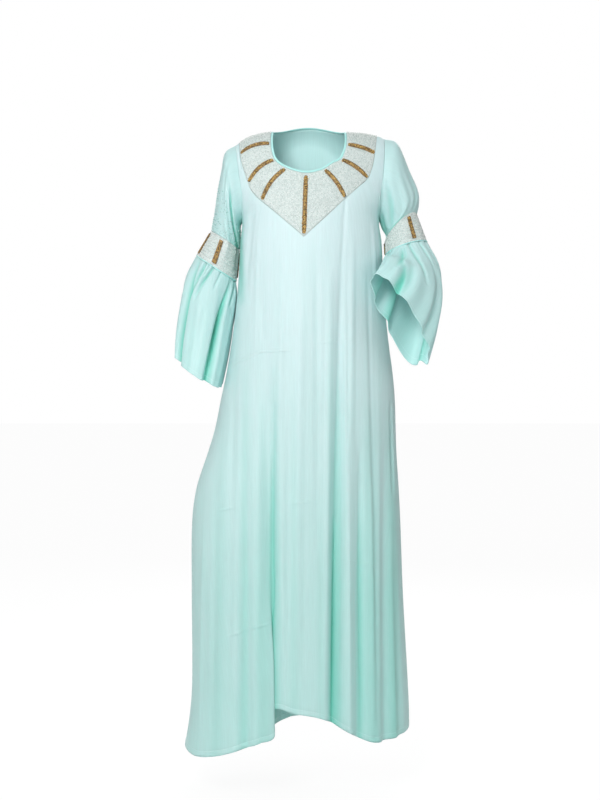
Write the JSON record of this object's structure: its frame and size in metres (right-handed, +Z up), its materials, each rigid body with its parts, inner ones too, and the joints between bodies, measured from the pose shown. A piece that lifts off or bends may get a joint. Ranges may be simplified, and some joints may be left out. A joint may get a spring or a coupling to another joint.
{
  "type": "kaftan",
  "caption": "Long loose kaftan held in a worn shape: an inset beaded yoke with raised bars, elbow sleeves with beaded bands and gathered bell flounces, open at neck, cuffs and hem",
  "frame": {"origin": "midway between the two shoulder seams, where the shoulders of the wearer carry the garment", "axes": "+Z up along the garment, from hem to neck; -Y is the front; +X is the wearer's left"},
  "size_m": [0.6425, 0.4006, 1.5104],
  "materials": {
    "cloth": "light mint viscose satin with fine vertical slubs",
    "binding": "mint cloth binding",
    "beadwork": "close pearl and silver seed beads on mint cloth",
    "bars": "bronze glass and metal beads in raised rows"
  },
  "bodies": {
    "root": {"front_panel": "cloth", "back_panel": "cloth", "sleeve_right": "cloth", "sleeve_left": "cloth", "flounce_right": "cloth", "flounce_left": "cloth", "neck_binding": "binding", "yoke": "beadwork", "band_right": "beadwork", "band_left": "beadwork", "yoke_bar_1": "bars", "yoke_bar_2": "bars", "yoke_bar_3": "bars", "yoke_bar_4": "bars", "yoke_bar_5": "bars", "yoke_bar_6": "bars", "yoke_bar_7": "bars", "band_right_bar_1": "bars", "band_right_bar_2": "bars", "band_right_bar_3": "bars", "band_right_bar_4": "bars", "band_left_bar_1": "bars", "band_left_bar_2": "bars", "band_left_bar_3": "bars", "band_left_bar_4": "bars"}
  },
  "joints": []
}
